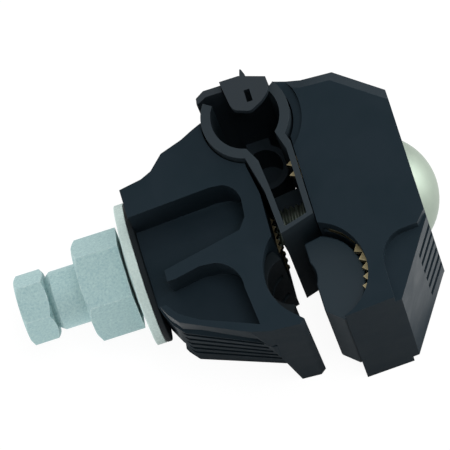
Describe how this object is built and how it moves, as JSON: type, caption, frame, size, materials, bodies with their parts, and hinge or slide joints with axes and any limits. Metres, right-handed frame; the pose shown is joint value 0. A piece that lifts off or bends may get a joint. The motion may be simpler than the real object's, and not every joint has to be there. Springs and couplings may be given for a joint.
{
  "type": "branch clamp",
  "caption": "Insulation-piercing branch connector: two moulded jaws with run and tap grooves, drawn together by a cup-head bolt and a double-hex shear nut.",
  "frame": {"origin": "on the back face that it lies on, below the bolt's axis, where the jaws part", "axes": "+X along the bolt towards its domed head, +Y towards the tap groove, +Z along the conductors, out of the front face"},
  "size_m": [0.0892, 0.0557, 0.0503],
  "materials": {
    "jaw_plastic": "black glass-filled nylon, moulded, fine matt grain",
    "seal_rubber": "black elastomer",
    "loop_rubber": "dark grey elastomer, smooth",
    "cap_rubber": "dark grey elastomer, smooth",
    "insert_rubber": "grey-black elastomer, smooth",
    "zinc_steel": "bright zinc plate, slightly mottled",
    "contact_metal": "tinned brass contact plate"
  },
  "bodies": {
    "base": {"base_jaw": "jaw_plastic", "carriage_bolt": "zinc_steel", "tap_seal": "loop_rubber", "base_run_seal": "insert_rubber", "base_blade_front": "contact_metal", "base_blade_back": "contact_metal", "end_cap": "cap_rubber"},
    "head": {"head_jaw": "jaw_plastic", "steel_washer": "zinc_steel", "seal_washer": "seal_rubber", "head_run_seal": "seal_rubber", "head_blade_front": "contact_metal", "head_blade_back": "contact_metal"},
    "nut": {"shear_nut": "zinc_steel"}
  },
  "joints": [
    {"name": "nut_turn", "type": "hinge", "parent": "head", "child": "nut", "pos_m": [-0.04, 0, 0.023], "axis": [1, 0, 0], "range_deg": [-1730, 1154]},
    {"name": "jaw_slide", "type": "slide", "parent": "base", "child": "head", "axis": [1, 0, 0], "range_m": [-0.006, 0.004], "deforming": ["tap_seal"]}
  ],
  "couplings": [
    {"joint": "nut_turn", "follows": "jaw_slide", "rad_per_m": 5026.5}
  ]
}
